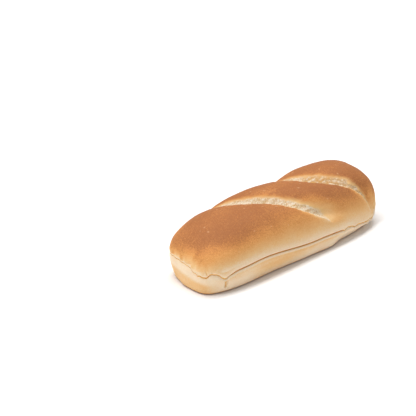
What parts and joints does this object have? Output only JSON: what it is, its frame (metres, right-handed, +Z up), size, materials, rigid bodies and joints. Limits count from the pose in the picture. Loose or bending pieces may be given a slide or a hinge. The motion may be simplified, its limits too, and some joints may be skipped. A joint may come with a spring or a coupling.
{
  "type": "hot dog bun",
  "caption": "Long soft roll with a domed, diagonally scored browned top and a flat base, sliced lengthwise along one side with the far side left joined.",
  "frame": {"origin": "middle of the flat base, under the centre of the bun's box", "axes": "+X along the bun, towards the end that the scores run to on the sliced side; the sliced side is -Y; +Z up"},
  "size_m": [0.155, 0.0526, 0.0421],
  "materials": {
    "crust": "satin browned bread crust, fading to cream at the sides, with pale open crumb in the scores"
  },
  "bodies": {
    "root": {"bun": "crust"}
  },
  "joints": []
}
